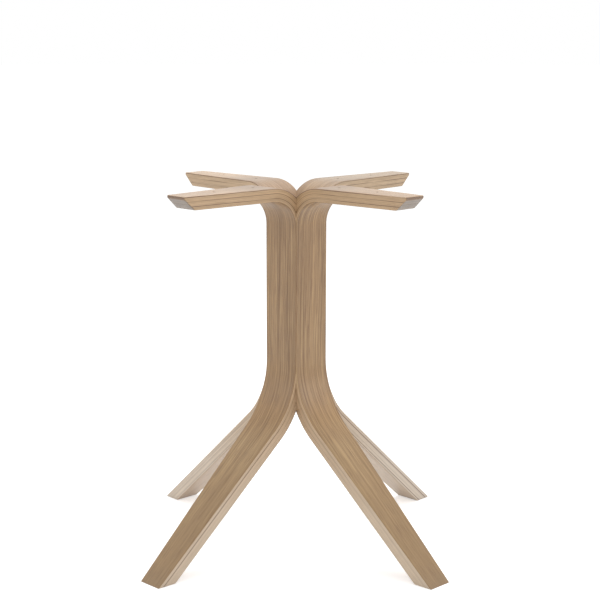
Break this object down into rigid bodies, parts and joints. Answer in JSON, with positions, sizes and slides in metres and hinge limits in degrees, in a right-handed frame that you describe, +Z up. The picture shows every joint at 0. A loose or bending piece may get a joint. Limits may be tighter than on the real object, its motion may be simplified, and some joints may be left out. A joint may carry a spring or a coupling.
{
  "type": "table base",
  "caption": "Pedestal table base of bent laminated planks, mitred into a square column, with flat tapering arms that carry the top and splayed feet.",
  "frame": {"origin": "on the floor, below the middle of the square column", "axes": "+Z up along the column; the legs point along the diagonals between X and Y, and -Y is the pictured front"},
  "size_m": [0.5672, 0.5672, 0.71],
  "materials": {
    "front_left_leg": "matt clear lacquer on pale oak",
    "front_right_leg": "matt clear lacquer on pale oak",
    "back_right_leg": "matt clear lacquer on pale oak",
    "back_left_leg": "matt clear lacquer on pale oak",
    "front_tongue": "unfinished beech plywood",
    "right_tongue": "unfinished beech plywood",
    "back_tongue": "unfinished beech plywood",
    "left_tongue": "unfinished beech plywood"
  },
  "bodies": {
    "root": {"front_left_leg": "front_left_leg", "front_right_leg": "front_right_leg", "back_right_leg": "back_right_leg", "back_left_leg": "back_left_leg", "front_tongue": "front_tongue", "right_tongue": "right_tongue", "back_tongue": "back_tongue", "left_tongue": "left_tongue"}
  },
  "joints": []
}
